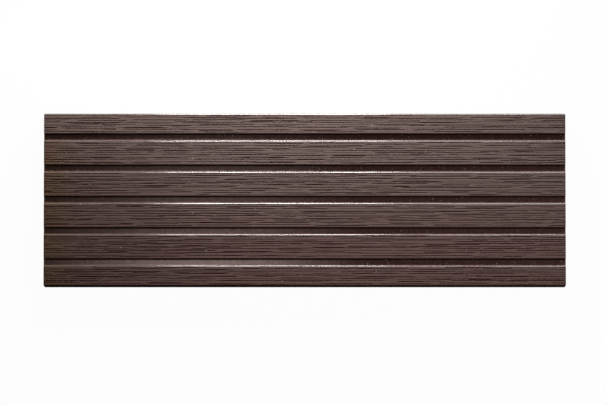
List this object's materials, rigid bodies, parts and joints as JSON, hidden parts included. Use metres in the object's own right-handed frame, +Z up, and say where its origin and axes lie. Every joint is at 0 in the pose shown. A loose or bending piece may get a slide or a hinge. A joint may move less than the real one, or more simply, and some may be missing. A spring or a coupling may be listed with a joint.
{
  "type": "decking board",
  "caption": "Cast concrete decking board: a flat slab whose top is parted by drainage grooves into parallel wood-grained slats, laid as terrace or path paving.",
  "frame": {"origin": "middle of the flat underside", "axes": "+X along the slats, the board's length; +Y across the slats; +Z up, with the slats on top"},
  "size_m": [0.9, 0.3, 0.04],
  "materials": {
    "brown_concrete": "through-coloured dark brown concrete, satin from the mould, with cast wood grain on the slats"
  },
  "bodies": {
    "root": {"decking_board": "brown_concrete"}
  },
  "joints": []
}
